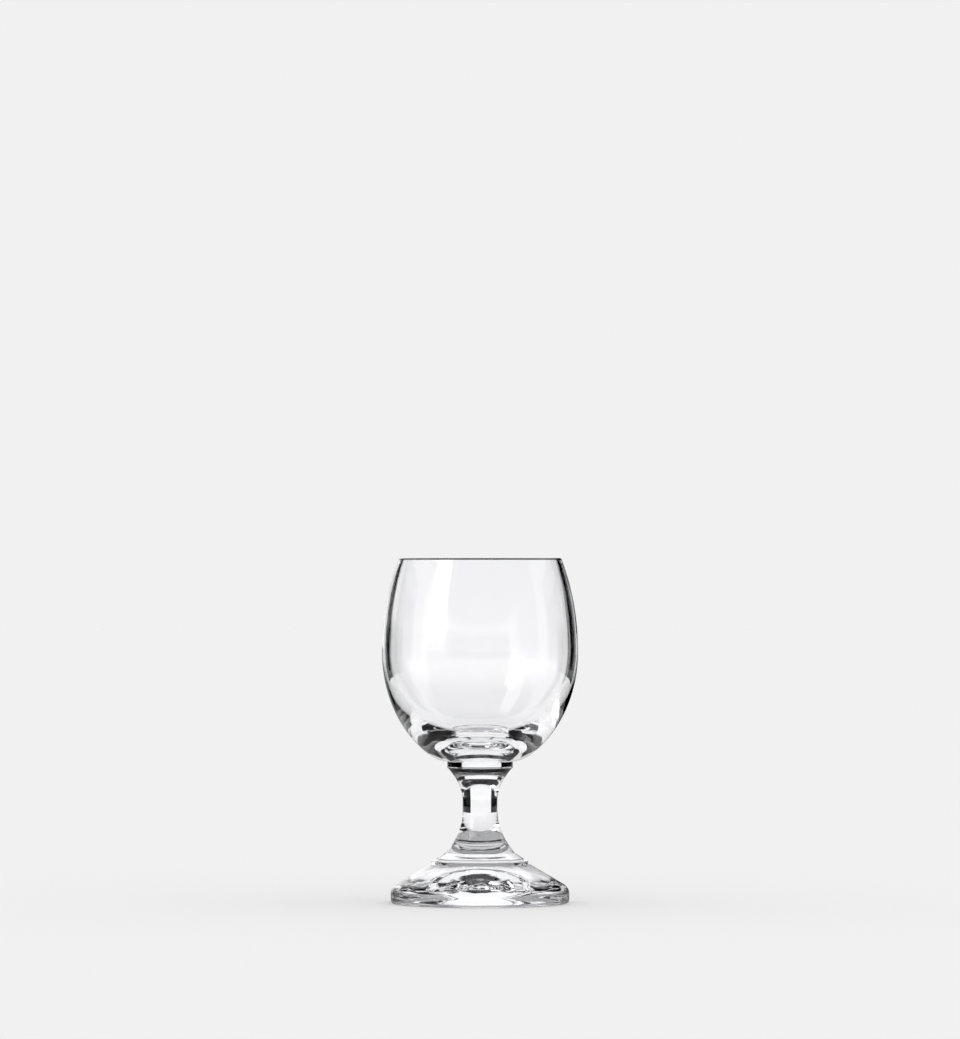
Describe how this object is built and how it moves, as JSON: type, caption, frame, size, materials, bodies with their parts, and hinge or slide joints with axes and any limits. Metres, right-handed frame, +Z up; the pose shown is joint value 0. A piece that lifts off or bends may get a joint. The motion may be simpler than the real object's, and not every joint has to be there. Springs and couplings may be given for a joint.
{
  "type": "stemmed shot glass",
  "caption": "Clear stemmed shot glass with a round bowl, short waisted stem, stepped shoulder and wide conical foot, for serving a small measure of spirits.",
  "frame": {"origin": "centre of the ring on the underside of the foot that the glass stands on", "axes": "+Z up along the axis of the stem, towards the rim; X and Y are alike because the glass is round"},
  "size_m": [0.0512, 0.0512, 0.09],
  "materials": {
    "clear_glass": "fire-polished, clear, colourless"
  },
  "bodies": {
    "root": {"foot": "clear_glass", "stepped_shoulder": "clear_glass", "stem": "clear_glass", "collar": "clear_glass", "bowl": "clear_glass"}
  },
  "joints": []
}
